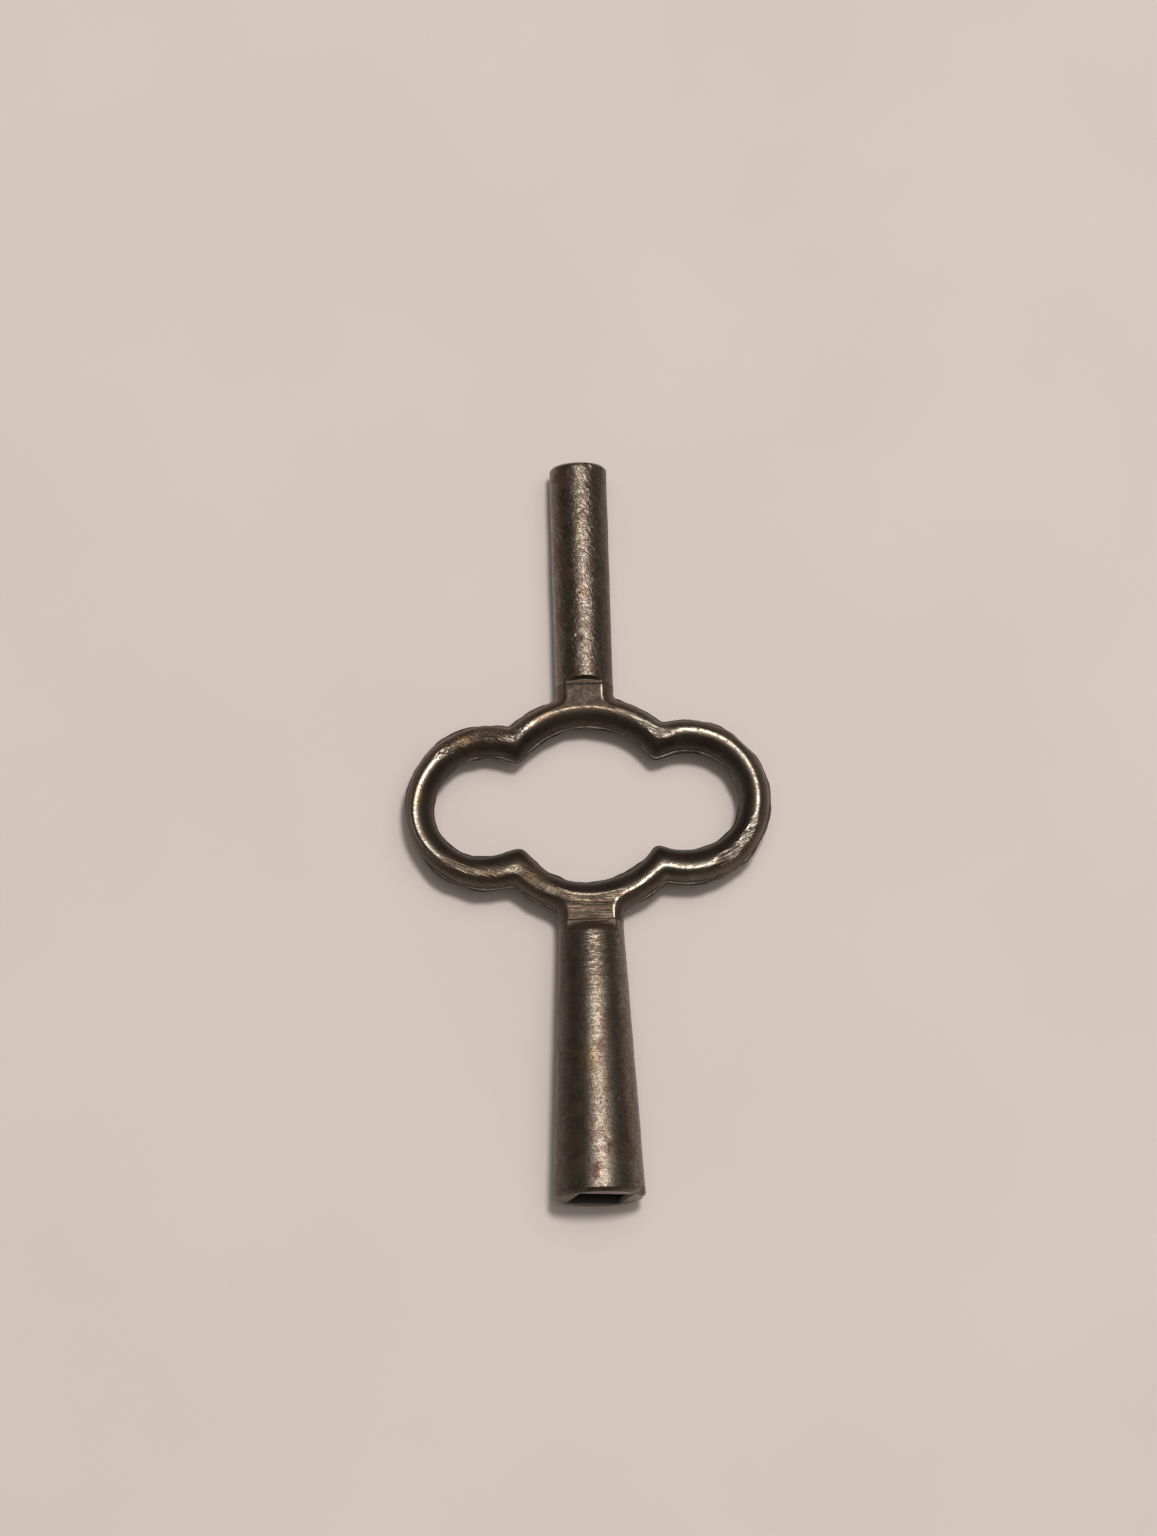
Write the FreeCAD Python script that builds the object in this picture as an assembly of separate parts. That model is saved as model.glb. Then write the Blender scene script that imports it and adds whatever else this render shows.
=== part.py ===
"""Double-ended clock key: a forged ring bow between a winding pipe and a setting pipe.

Millimetres. X runs across the bow and Z is square to its two faces. The origin is the centre
of the winding pipe's mouth, and +Y runs along the axis of both pipes to the setting pipe's
mouth.
"""
import FreeCAD, Part
import math
import os

V = FreeCAD.Vector

# Bow: one bar bent into four lobes, two on the key's axis and one at each side.
# A lobe's radius is that of its outer edge, where the two dies of the forging met.
# The bar is filed in narrow flats from its crown down to the ridge that the dies left.
BOW_THICKNESS = 4.6
CENTRE_LOBE_R = 11.3
SIDE_LOBE_R = 8.5
SIDE_LOBE_OFFSET = 10.1
CROWN_TO_OUTER = 1.25
CROWN_TO_INNER = 1.85
CUSP_NOSE_R = 0.9
NOTCH_R = 0.8
PARTING_RIDGE_HEIGHT = 0.12
PARTING_RIDGE_WIDTH = 0.5
FLATS_PER_QUARTER = 5
CHORDS_ROUND_CUSP = 3

# Winding pipe: tapered, with a drifted square over a drilled hole
WINDING_PIPE_LENGTH = 28.3
WINDING_MOUTH_DIA = 9.4
WINDING_BACK_DIA = 6.56
WINDING_SQUARE = 5.0
WINDING_SQUARE_TURN = 15.0
WINDING_SQUARE_DEPTH = 12.0
WINDING_DRILL_DEPTH = 17.0
WINDING_RIM_BEVEL = 0.4
WINDING_MOUTH_BEVEL = 0.35
WINDING_RAMP_LENGTH = 1.3

# Setting pipe: parallel
SETTING_PIPE_LENGTH = 23.4
SETTING_PIPE_DIA = 5.94
SETTING_SQUARE = 3.0
SETTING_SQUARE_TURN = 0.0
SETTING_SQUARE_DEPTH = 9.0
SETTING_DRILL_DEPTH = 13.0
SETTING_RIM_BEVEL = 0.3
SETTING_MOUTH_BEVEL = 0.2
SETTING_RAMP_LENGTH = 0.7

# Necks, from the ring's outer edge to the pipe
WINDING_NECK_LENGTH = 1.1
SETTING_NECK_LENGTH = 1.0
NECK_FLARE = 1.0

# Brazed joints: a spigot on each neck, filler round it, in a bore at the pipe's back
WINDING_SPIGOT_DIA = 3.6
WINDING_SPIGOT_LENGTH = 5.0
SETTING_SPIGOT_DIA = 3.0
SETTING_SPIGOT_LENGTH = 4.0
BRAZE_GAP = 0.12

# Drilled holes below the squares
DRILL_SHARE_OF_SQUARE = 0.96
DRILL_POINT_ANGLE = 118.0

# What follows from the sizes above
CENTRE_LOBE = V(0, 0, 0)
SIDE_LOBE = V(SIDE_LOBE_OFFSET, 0, 0)
HALF_THICKNESS = BOW_THICKNESS / 2
BAR_WIDTH = CROWN_TO_OUTER + CROWN_TO_INNER
BOW_CENTRE_Y = WINDING_PIPE_LENGTH + WINDING_NECK_LENGTH + CENTRE_LOBE_R
SETTING_SEAM_Y = BOW_CENTRE_Y + CENTRE_LOBE_R + SETTING_NECK_LENGTH
KEY_LENGTH = SETTING_SEAM_Y + SETTING_PIPE_LENGTH
REACH = KEY_LENGTH


def on_circle(centre, radius, degrees):
    """The point of a circle in the bow's middle plane."""
    angle = math.radians(degrees)
    return centre + V(radius * math.cos(angle), radius * math.sin(angle), 0)


def bearing(centre, point):
    """Direction from centre to point, in degrees from +X."""
    step = point - centre
    return math.degrees(math.atan2(step.y, step.x))


def upper_crossing(centre_a, radius_a, centre_b, radius_b):
    """Where two circles cross, on the +Y side of a line of centres that lies along X."""
    gap = centre_b.x - centre_a.x
    along = (gap ** 2 + radius_a ** 2 - radius_b ** 2) / (2 * gap)
    return centre_a + V(along, math.sqrt(radius_a ** 2 - along ** 2), 0)


def blend_arc(centre_a, radius_a, centre_b, radius_b, blend_radius):
    """Centre of the arc that rounds the corner of two lobes, and its bearings at each lobe."""
    centre = upper_crossing(centre_a, radius_a + blend_radius, centre_b, radius_b + blend_radius)
    return centre, bearing(centre, centre_a), bearing(centre, centre_b)


def spread(first, last, steps):
    """Even values from first to last, both included."""
    return [first + (last - first) * step / steps for step in range(steps + 1)]


def corner_stations():
    """(outer, inner) points of the bar round the corner from the +Y lobe to the +X lobe.

    The first and last pair lie square to the bar, where the two lobes' plain arcs end.
    """
    centre_inner_r = CENTRE_LOBE_R - BAR_WIDTH
    side_inner_r = SIDE_LOBE_R - BAR_WIDTH
    notch, notch_from, notch_to = blend_arc(
        CENTRE_LOBE, CENTRE_LOBE_R, SIDE_LOBE, SIDE_LOBE_R, NOTCH_R)
    nose, nose_from, nose_to = blend_arc(
        CENTRE_LOBE, centre_inner_r, SIDE_LOBE, side_inner_r, CUSP_NOSE_R)
    outer = [on_circle(notch, NOTCH_R, angle)
             for angle in spread(notch_from, notch_to, CHORDS_ROUND_CUSP + 2)]
    inner = [on_circle(nose, CUSP_NOSE_R, angle)
             for angle in spread(nose_from, nose_to, CHORDS_ROUND_CUSP)]
    inner.insert(0, on_circle(CENTRE_LOBE, centre_inner_r, bearing(CENTRE_LOBE, notch)))
    inner.append(on_circle(SIDE_LOBE, side_inner_r, bearing(SIDE_LOBE, notch)))
    return list(zip(outer, inner))


def bar_section(outer, inner):
    """Egg-shaped section of the bar, upright over the line from its outer to its inner edge."""
    crown = inner + (outer - inner) * (CROWN_TO_INNER / BAR_WIDTH)
    ridge_base = PARTING_RIDGE_WIDTH / 2
    points = []
    for edge_point in (outer, inner):
        reach = edge_point - crown
        quarter = []
        for angle in spread(0, 90, FLATS_PER_QUARTER):
            across = math.sin(math.radians(angle))
            up = ridge_base + (HALF_THICKNESS - ridge_base) * math.cos(math.radians(angle))
            quarter.append(crown + reach * across + V(0, 0, up))
        ridge = edge_point + V(reach).normalize() * PARTING_RIDGE_HEIGHT
        below = [V(point.x, point.y, -point.z) for point in reversed(quarter)]
        side = quarter + [ridge] + below
        points += side if edge_point is outer else side[-2:0:-1]
    return Part.makePolygon(points + points[:1])


def ring():
    """The closed bar: four plain arcs swung about their lobes, joined by four lofted corners."""
    stations = corner_stations()
    sections = [bar_section(outer, inner) for outer, inner in stations]
    centre_half_sweep = 90 - bearing(CENTRE_LOBE, stations[0][0])
    side_half_sweep = bearing(SIDE_LOBE, stations[-1][0])
    centre_arc = Part.Face(sections[0]).revolve(CENTRE_LOBE, V(0, 0, 1), 2 * centre_half_sweep)
    side_arc = Part.Face(sections[-1]).revolve(SIDE_LOBE, V(0, 0, 1), -2 * side_half_sweep)
    corner = Part.makeLoft(sections, True, True)

    upper = [centre_arc, corner, corner.mirror(V(0, 0, 0), V(1, 0, 0))]
    lower = [piece.mirror(V(0, 0, 0), V(0, 1, 0)) for piece in upper]
    sides = [side_arc, side_arc.mirror(V(0, 0, 0), V(1, 0, 0))]
    whole = upper[0].fuse(upper[1:] + lower + sides)
    whole.translate(V(0, BOW_CENTRE_Y, 0))
    return whole


def turned(profile):
    """Solid of revolution about the key's axis; profile is a closed list of edges at z = 0."""
    return Part.Face(Part.Wire(profile)).revolve(V(0, 0, 0), V(0, 1, 0), 360)


def edge(x0, y0, x1, y1):
    return Part.LineSegment(V(x0, y0, 0), V(x1, y1, 0)).toShape()


def neck(seam_y, radius, to_ring):
    """Round shank that flares into the ring, cut flat level with the bow's two faces.

    to_ring is +1 when the ring lies towards +Y of the seam, else -1.
    """
    crown_y = BOW_CENTRE_Y - to_ring * (CENTRE_LOBE_R - CROWN_TO_OUTER)
    flare_y = crown_y - to_ring * NECK_FLARE
    shank = turned([
        edge(0, seam_y, radius, seam_y),
        edge(radius, seam_y, radius, flare_y),
        edge(radius, flare_y, radius + NECK_FLARE, crown_y),
        edge(radius + NECK_FLARE, crown_y, 0, crown_y),
        edge(0, crown_y, 0, seam_y)])
    faces = Part.makeBox(REACH, REACH, BOW_THICKNESS,
                         V(-REACH / 2, BOW_CENTRE_Y - REACH / 2, -HALF_THICKNESS))
    inside_crown = Part.makeCylinder(CENTRE_LOBE_R - CROWN_TO_OUTER, BOW_THICKNESS,
                                     V(0, BOW_CENTRE_Y, -HALF_THICKNESS))
    return shank.common(faces).cut(inside_crown)


def spigot(seam_y, diameter, length, to_pipe):
    return Part.makeCylinder(diameter / 2, length, V(0, seam_y, 0), V(0, to_pipe, 0))


def bow():
    body = ring()
    body = body.fuse([
        neck(WINDING_PIPE_LENGTH, WINDING_BACK_DIA / 2, 1),
        neck(SETTING_SEAM_Y, SETTING_PIPE_DIA / 2, -1),
        spigot(WINDING_PIPE_LENGTH, WINDING_SPIGOT_DIA, WINDING_SPIGOT_LENGTH, -1),
        spigot(SETTING_SEAM_Y, SETTING_SPIGOT_DIA, SETTING_SPIGOT_LENGTH, 1)])
    return body.removeSplitter()


def square_wire(side, turn, y):
    half = side / 2
    corners = [V(-half, y, -half), V(half, y, -half), V(half, y, half), V(-half, y, half)]
    wire = Part.makePolygon(corners + corners[:1])
    wire.rotate(V(0, 0, 0), V(0, 1, 0), turn)
    return wire


def socket(side, turn, square_depth, drill_depth, bevel):
    """What is cut away for a drifted square over a drilled hole, with its mouth at y = 0."""
    square = Part.Face(square_wire(side, turn, 0)).extrude(V(0, square_depth, 0))
    mouth = Part.makeLoft([square_wire(side + 2 * bevel, turn, 0), square_wire(side, turn, bevel)],
                          True, True)
    drill_r = side * DRILL_SHARE_OF_SQUARE / 2
    point = drill_r / math.tan(math.radians(DRILL_POINT_ANGLE / 2))
    drill = turned([
        edge(0, 0, drill_r, 0),
        edge(drill_r, 0, drill_r, drill_depth),
        edge(drill_r, drill_depth, 0, drill_depth + point),
        edge(0, drill_depth + point, 0, 0)])
    return drill.fuse([square, mouth])


def pipe_blank(length, mouth_r, back_r, rim_bevel):
    """Tapered bar with its mouth at y = 0, its rim bevelled and its back end square."""
    rim_r = mouth_r - (mouth_r - back_r) * rim_bevel / length
    return turned([
        edge(0, 0, mouth_r - rim_bevel, 0),
        edge(mouth_r - rim_bevel, 0, rim_r, rim_bevel),
        edge(rim_r, rim_bevel, back_r, length),
        edge(back_r, length, 0, length),
        edge(0, length, 0, 0)])


def filed_ramps(length, ramp_length, radius_at_ramp):
    """What is cut away so that the pipe runs down to the bow's two faces at its back."""
    outside = 2 * radius_at_ramp
    cone = turned([
        edge(radius_at_ramp, length - ramp_length, outside, length - ramp_length),
        edge(outside, length - ramp_length, outside, length),
        edge(outside, length, HALF_THICKNESS, length),
        edge(HALF_THICKNESS, length, radius_at_ramp, length - ramp_length)])
    between_faces = Part.makeBox(2 * REACH, REACH, BOW_THICKNESS,
                                 V(-REACH, 0, -HALF_THICKNESS))
    return cone.cut(between_faces)


def pipe(length, mouth_dia, back_dia, rim_bevel, ramp_length, bore_dia, bore_depth, hole):
    """One pipe with its mouth at y = 0 and its brazing bore at the back."""
    mouth_r = mouth_dia / 2
    back_r = back_dia / 2
    taper = (mouth_r - back_r) / length
    body = pipe_blank(length, mouth_r, back_r, rim_bevel)
    body = body.cut(filed_ramps(length, ramp_length, back_r + taper * ramp_length))
    bore = Part.makeCylinder(bore_dia / 2, bore_depth, V(0, length, 0), V(0, -1, 0))
    return body.cut([hole, bore])


def facing_setting_end(shape):
    """Turns a pipe modelled mouth first about Z and sets it with its back on the bow."""
    shape.rotate(V(0, 0, 0), V(0, 0, 1), 180)
    shape.translate(V(0, KEY_LENGTH, 0))
    return shape


def winding_pipe():
    hole = socket(WINDING_SQUARE, WINDING_SQUARE_TURN, WINDING_SQUARE_DEPTH,
                  WINDING_DRILL_DEPTH, WINDING_MOUTH_BEVEL)
    return pipe(WINDING_PIPE_LENGTH, WINDING_MOUTH_DIA, WINDING_BACK_DIA, WINDING_RIM_BEVEL,
                WINDING_RAMP_LENGTH, WINDING_SPIGOT_DIA + 2 * BRAZE_GAP,
                WINDING_SPIGOT_LENGTH + BRAZE_GAP, hole)


def setting_pipe():
    hole = socket(SETTING_SQUARE, SETTING_SQUARE_TURN, SETTING_SQUARE_DEPTH,
                  SETTING_DRILL_DEPTH, SETTING_MOUTH_BEVEL)
    return facing_setting_end(pipe(
        SETTING_PIPE_LENGTH, SETTING_PIPE_DIA, SETTING_PIPE_DIA, SETTING_RIM_BEVEL,
        SETTING_RAMP_LENGTH, SETTING_SPIGOT_DIA + 2 * BRAZE_GAP,
        SETTING_SPIGOT_LENGTH + BRAZE_GAP, hole))


def braze(seam_y, diameter, length, to_pipe):
    """Filler round a spigot and over its end."""
    bore_fill = spigot(seam_y, diameter + 2 * BRAZE_GAP, length + BRAZE_GAP, to_pipe)
    return bore_fill.cut(spigot(seam_y, diameter, length, to_pipe))


def main():
    parts = {
        "bow": bow(),
        "winding_pipe": winding_pipe(),
        "setting_pipe": setting_pipe(),
        "winding_braze": braze(WINDING_PIPE_LENGTH, WINDING_SPIGOT_DIA,
                               WINDING_SPIGOT_LENGTH, -1),
        "setting_braze": braze(SETTING_SEAM_Y, SETTING_SPIGOT_DIA,
                               SETTING_SPIGOT_LENGTH, 1)}
    os.makedirs("parts", exist_ok=True)
    for name, shape in parts.items():
        shape.exportStep("parts/" + name + ".step")
        print(name, "solids", len(shape.Solids), "valid", shape.isValid(),
              "volume", round(shape.Volume, 2), "bounds", shape.BoundBox)


main()
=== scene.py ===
"""Looks of the double clock key: worn dark iron on pale paper.

The row frame is the CAD model's: the origin is the centre of the winding pipe's mouth, +Y runs
along both pipes to the setting pipe's mouth, and Z is square to the bow's faces. Sizes here
are in millimetres and become metres where they enter Blender.
"""

import functools
import math
from types import SimpleNamespace

import bpy
from mathutils import Matrix, Vector


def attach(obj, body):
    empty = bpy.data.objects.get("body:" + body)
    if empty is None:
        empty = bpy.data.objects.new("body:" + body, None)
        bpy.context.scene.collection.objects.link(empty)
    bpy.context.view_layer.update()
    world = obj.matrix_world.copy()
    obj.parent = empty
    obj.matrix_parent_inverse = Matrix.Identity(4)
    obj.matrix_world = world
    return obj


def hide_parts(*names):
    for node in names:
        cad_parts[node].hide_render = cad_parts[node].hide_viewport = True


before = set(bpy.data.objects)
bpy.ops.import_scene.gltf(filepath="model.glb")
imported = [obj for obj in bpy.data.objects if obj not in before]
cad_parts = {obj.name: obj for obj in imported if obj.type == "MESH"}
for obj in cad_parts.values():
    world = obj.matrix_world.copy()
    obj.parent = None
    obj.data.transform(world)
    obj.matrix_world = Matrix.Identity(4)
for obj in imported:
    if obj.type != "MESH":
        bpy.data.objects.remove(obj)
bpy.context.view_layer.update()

MM = 0.001

# Places and sizes that the bow and the pipes share
BOW_CENTRE_Y = 40.7
HALF_THICKNESS = 2.3
WINDING_SEAM_Y = 28.3
WINDING_BACK_R = 3.28
WINDING_SPIGOT_R = 1.8
WINDING_SPIGOT_LENGTH = 5.0
WINDING_FLAT_FALL = 0.14
SETTING_SEAM_Y = 53.0
SETTING_LENGTH = 23.4
SETTING_R = 2.97
SETTING_SPIGOT_R = 1.5
SETTING_SPIGOT_LENGTH = 4.0
SETTING_FLAT_FALL = 0.02
BRAZE_GAP = 0.12
KEY_LENGTH = SETTING_SEAM_Y + SETTING_LENGTH
WINDING_NECK_END = BOW_CENTRE_Y - WINDING_SEAM_Y
SETTING_NECK_END = SETTING_SEAM_Y - BOW_CENTRE_Y

# Bow, by the names of its node group's inputs
BOW_SIZES = {
    "Bow centre": BOW_CENTRE_Y, "Half thickness": HALF_THICKNESS,
    "Centre crown radius": 10.05, "Side crown radius": 7.25, "Side lobe offset": 10.1,
    "Outer reach": 1.25, "Inner reach": 1.85, "Cusp blend": 1.05, "Edge softness": 0.14,
    "Winding seam": WINDING_NECK_END, "Setting seam": SETTING_NECK_END,
    "Winding neck radius": WINDING_BACK_R, "Setting neck radius": SETTING_R,
    "Winding spigot radius": WINDING_SPIGOT_R, "Setting spigot radius": SETTING_SPIGOT_R,
    "Winding spigot length": WINDING_SPIGOT_LENGTH,
    "Setting spigot length": SETTING_SPIGOT_LENGTH,
    "Winding flat fall": WINDING_FLAT_FALL, "Setting flat fall": SETTING_FLAT_FALL,
    "Winding fillet": 1.6, "Setting fillet": 0.95}
CUSP_BLEND_SLOPE = 0.34
LEAST_CUSP_BLEND = 0.3
NECK_CLEARANCE = 0.2
SEAM_SOFTNESS = 0.012
SEAM_SNAP = 0.08
SLOPE_NUDGE = 0.02
NEVER_ZERO = 0.01
LEAST_STEEPNESS = 0.05
BOW_SURFACE = {"Voxel": 0.134, "Ridge height": 0.2, "Ridge half width": 0.2}
RIDGE_RISE = 0.15
# How far across the bar from its crown line the walls that carry the ridge begin
WALL_EDGE = 0.7
WALL_FACE = 1.1
# How far from the bow's centre the ridge and then the unevenness fade out on the necks
RIDGE_FADE = 10.9
RIDGE_END = 11.6
UNEVEN_FADE = 11.2
UNEVEN_END = 12.2
# Uneven forging of the bar: x, y, radius, crown line moved outward, inner wall moved inward
HAND_SHAPES = [
    (-17.0, 38.4, 7.5, 0.53, -0.34),
    (-8.3, 34.0, 4.5, 0.0, 0.60),
    (10.5, 33.4, 7.0, 0.05, 0.38),
    (3.0, 31.0, 4.0, 0.25, 0.22)]

# Pipes, by the names of their node trees' inputs
WINDING_PIPE = {
    "Length": WINDING_SEAM_Y, "Mouth radius": 4.7, "Back radius": WINDING_BACK_R,
    "Rim bevel": 0.4, "Flat height": HALF_THICKNESS - WINDING_FLAT_FALL, "Ramp start": 1.3,
    "Ramp length": 1.3, "Bore radius": WINDING_SPIGOT_R + BRAZE_GAP,
    "Bore depth": WINDING_SPIGOT_LENGTH + BRAZE_GAP, "Square": 5.0, "Mouth bevel": 0.35,
    "Square depth": 12.0, "Drill radius": 2.4, "Drill depth": 17.0, "Drill point": 1.44}
SETTING_PIPE = {
    "Mouth position": KEY_LENGTH, "Length": SETTING_LENGTH, "Mouth radius": SETTING_R,
    "Back radius": SETTING_R, "Rim bevel": 0.3,
    "Flat height": HALF_THICKNESS - SETTING_FLAT_FALL, "Ramp start": 0.7, "Ramp length": 0.3,
    "Bore radius": SETTING_SPIGOT_R + BRAZE_GAP, "Bore depth": SETTING_SPIGOT_LENGTH + BRAZE_GAP,
    "Square": 3.0, "Mouth bevel": 0.2, "Square depth": 9.0, "Drill radius": 1.44,
    "Drill depth": 13.0, "Drill point": 0.87}
PIPE_SOFTNESS = 0.04
PIPE_SEAM_SOFTNESS = 0.01
MERGE_DISTANCE = 0.002
LEAST_RAMP_SHARE = 0.2
# How squarely a face looks along the key if it belongs to a flat end
END_FACING = 0.97
# Corners of a pipe's outline where its outside begins and its mouth's face ends
SEAM_CORNER = 4
FACE_CORNER = 11

# Dents and nicks: start, end, width and depth
BOW_GOUGES = [
    ((-15.2, 45.7, 2.2), (-14.4, 46.5, 2.3), 0.34, 0.06),
    ((-14.3, 47.1, 2.1), (-13.7, 46.2, 2.2), 0.26, 0.09),
    ((-12.9, 47.5, 2.2), (-12.2, 47.1, 2.2), 0.40, 0.05),
    ((-9.6, 48.6, 1.9), (-7.4, 47.9, 2.3), 0.28, 0.05),
    ((-9.4, 48.1, 2.1), (-7.2, 47.4, 2.3), 0.25, 0.06),
    ((-5.2, 49.4, 1.4), (-3.9, 50.2, 1.6), 0.30, 0.06),
    ((9.0, 32.9, 2.3), (9.9, 32.7, 2.2), 0.30, 0.06),
    ((-17.9, 37.0, 1.7), (-17.2, 35.9, 2.0), 0.35, 0.05)]
WINDING_NICKS = [
    ((3.9, 0.0, 2.2), (4.8, 0.0, 1.3), 0.75, 0.22),
    ((-0.1, 0.0, 4.8), (0.5, 0.5, 4.8), 0.40, 0.05),
    ((-3.9, 0.0, 2.9), (-3.4, 0.0, 3.5), 0.40, 0.07),
    ((-0.2, 25.1, 3.5), (0.1, 25.4, 3.5), 0.35, 0.04),
    ((0.9, 5.6, 4.6), (1.2, 5.4, 4.6), 0.45, 0.08),
    ((-1.5, 27.1, 2.9), (1.6, 27.0, 2.9), 0.22, 0.05),
    ((2.1, 9.6, 3.7), (2.3, 9.3, 3.6), 0.35, 0.06)]
SETTING_NICKS = [
    ((0.6, 76.3, 2.8), (1.2, 75.9, 2.8), 0.38, 0.12),
    ((-0.3, 62.6, 3.0), (0.3, 62.9, 3.0), 0.40, 0.02),
    ((-0.6, 57.9, 2.9), (-0.2, 57.7, 2.9), 0.30, 0.06),
    ((0.1, 67.2, 3.0), (0.4, 66.9, 3.0), 0.30, 0.05),
    ((0.4, 71.4, 3.0), (0.1, 71.0, 3.0), 0.25, 0.04)]
# Facets that a file left on the bow: a point of the facet, its outward direction and radius
BOW_FACETS = [
    ((16.45, 36.85, 2.13), (0.13, -0.09, 0.99), 2.6),
    ((14.5, 34.6, 2.02), (0.14, -0.28, 0.95), 2.3),
    ((6.5, 48.2, 2.18), (0.07, 0.05, 0.99), 3.2),
    ((-9.0, 48.2, 2.10), (-0.05, 0.20, 0.98), 3.8),
    ((-5.6, 31.9, 2.17), (-0.06, -0.09, 0.99), 3.8),
    ((16.25, 46.4, 0.3), (0.70, 0.69, 0.25), 3.0),
    ((18.05, 43.7, 0.3), (0.93, 0.33, 0.25), 2.4),
    ((-14.9, 33.45, -0.2), (-0.53, -0.83, -0.1), 2.6)]
# Duller stretches of the crown: start, end, width and how dull
DULL_STRETCHES = [
    ((-13.2, 46.9, 2.0), (-8.9, 48.2, 2.0), 2.2, 1.0),
    ((-13.8, 33.8, 2.0), (-3.6, 31.2, 2.0), 2.4, 1.4)]
# Scratches finer than the mesh: start, end, width and depth
BOW_SCRATCHES = [
    ((-15.6, 45.4, 2.2), (-15.0, 46.2, 2.2), 0.16, 2.5),
    ((-15.0, 46.2, 2.2), (-14.5, 46.1, 2.2), 0.14, 3.0),
    ((-14.5, 46.1, 2.2), (-14.1, 46.8, 2.2), 0.15, 3.5),
    ((-14.1, 46.8, 2.2), (-14.2, 47.4, 2.2), 0.12, 2.5),
    ((-14.9, 45.6, 2.2), (-14.2, 46.0, 2.2), 0.15, 3.0),
    ((-14.0, 46.3, 2.2), (-13.4, 46.7, 2.2), 0.12, 2.0),
    ((-12.9, 47.5, 2.2), (-12.3, 46.9, 2.2), 0.16, 2.5),
    ((-12.4, 47.7, 2.2), (-11.8, 47.4, 2.2), 0.12, 2.0),
    ((-9.9, 48.7, 1.9), (-6.6, 48.4, 2.2), 0.15, 4.0),
    ((-9.6, 48.4, 2.0), (-6.7, 48.0, 2.2), 0.14, 4.0),
    ((-9.3, 48.1, 2.1), (-6.9, 47.6, 2.2), 0.15, 4.0),
    ((-8.6, 47.8, 2.1), (-7.1, 47.3, 2.2), 0.14, 4.0),
    ((-4.6, 32.4, 1.6), (-4.3, 31.4, 2.0), 0.13, 2.5),
    ((-5.1, 32.6, 1.5), (-4.7, 31.6, 2.0), 0.11, 2.0),
    ((-7.9, 34.2, 2.1), (-7.3, 33.8, 2.2), 0.20, 2.5),
    ((-6.9, 34.4, 2.0), (-6.6, 34.0, 2.1), 0.16, 2.0)]
# How far spots and scratches are shaken out of their plain shapes
SPOT_WOBBLE = 1.0
SCRATCH_WOBBLE = 0.5
# Spots of patina: place and radius
BOW_SPOTS = {
    "straw": [((-17.6, 42.0, 2.0), 1.6), ((-10.0, 32.9, 2.2), 1.0), ((-5.9, 32.9, 2.2), 0.8)],
    "bright_straw": [((-12.27, 47.37, 2.2), 0.8)],
    "red": [((-9.9, 48.6, 1.6), 1.4), ((-3.0, 30.0, 1.8), 1.3), ((2.9, 29.6, 1.6), 1.0)],
    "dark_facet": [((13.9, 33.4, 2.0), 1.6)],
    "setting_arch": [((0.0, 51.0, 2.2), 3.6), ((3.4, 50.5, 2.0), 2.6), ((-3.8, 50.2, 2.0), 2.6)],
    "winding_arch": [((0.0, 30.4, 2.2), 3.4)],
    "nose": [((-5.6, 32.9, 1.8), 2.6)],
    "pale_nose": [((-6.0, 33.2, 1.6), 3.2)]}
WINDING_SPOTS = {
    "straw": [((0.9, 26.0, 3.4), 1.1), ((-0.8, 14.0, 4.0), 1.6)],
    "red": [((-2.6, 5.3, 3.8), 1.6), ((3.15, 4.1, 3.4), 1.4), ((0.0, 25.3, 3.4), 0.45),
            ((-2.3, 8.6, 3.8), 1.3), ((0.5, 15.0, 4.0), 0.9), ((2.6, 16.5, 3.0), 0.7)]}
SETTING_SPOTS = {
    "straw": [((0.3, 62.4, 3.0), 0.8), ((-0.4, 69.4, 2.9), 0.9)],
    "red": [((-1.6, 74.6, 2.4), 1.5), ((-2.0, 70.8, 2.2), 1.4), ((-2.1, 67.3, 2.1), 1.1),
            ((1.0, 65.6, 2.8), 0.7)]}

# Colours of the materials
IRON_CLEAN = (0.137, 0.109, 0.085, 1.0)
IRON_BROWN = (0.095, 0.063, 0.047, 1.0)
# Bright burnished metal; it also paints the highlight on the ridge line and on the necks' edges
# towards the lamp, and a sheen on the winding pipe's side towards the lamp
IRON_BRIGHT = (0.252, 0.223, 0.178, 1.0)
IRON_STRAW = (0.240, 0.152, 0.066, 1.0)
IRON_TAN = (0.170, 0.116, 0.074, 1.0)
# Soot-dark tone of pits, specks and mottling; it is also the colour of the painted shade on the
# bow's walls, around the ridge, inside the pipes' mouths and on the pipes' shaded sides
IRON_SOOT_AND_SHADE = (0.026, 0.018, 0.015, 1.0)
IRON_RED = (0.085, 0.036, 0.022, 1.0)
BRASS_DARK = (0.52, 0.34, 0.13, 1.0)
BRASS_LIGHT = (0.72, 0.52, 0.24, 1.0)
PAPER_DARK = (0.745, 0.650, 0.600, 1.0)
PAPER_LIGHT = (0.770, 0.675, 0.625, 1.0)
# What each piece changes of the iron's own values
BOW_IRON = {"Red patches": 0.35, "Pits": 0.45}
WINDING_IRON = {"Red patches": 0.9, "Pits": 0.6, "Grain height": 1.6, "Grain fineness": 6.5,
                "Mottle": 0.15, "Sparkle": 0.05}
SETTING_IRON = {"Red patches": 0.75, "Pits": 0.65, "Grain height": 1.5, "Grain fineness": 6.5,
                "Mottle": 0.15, "Sparkle": 0.10}

# Camera, fitted to the photograph: a 101.6 mm lens on a 24 mm high frame
LENS = 101.5625
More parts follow.
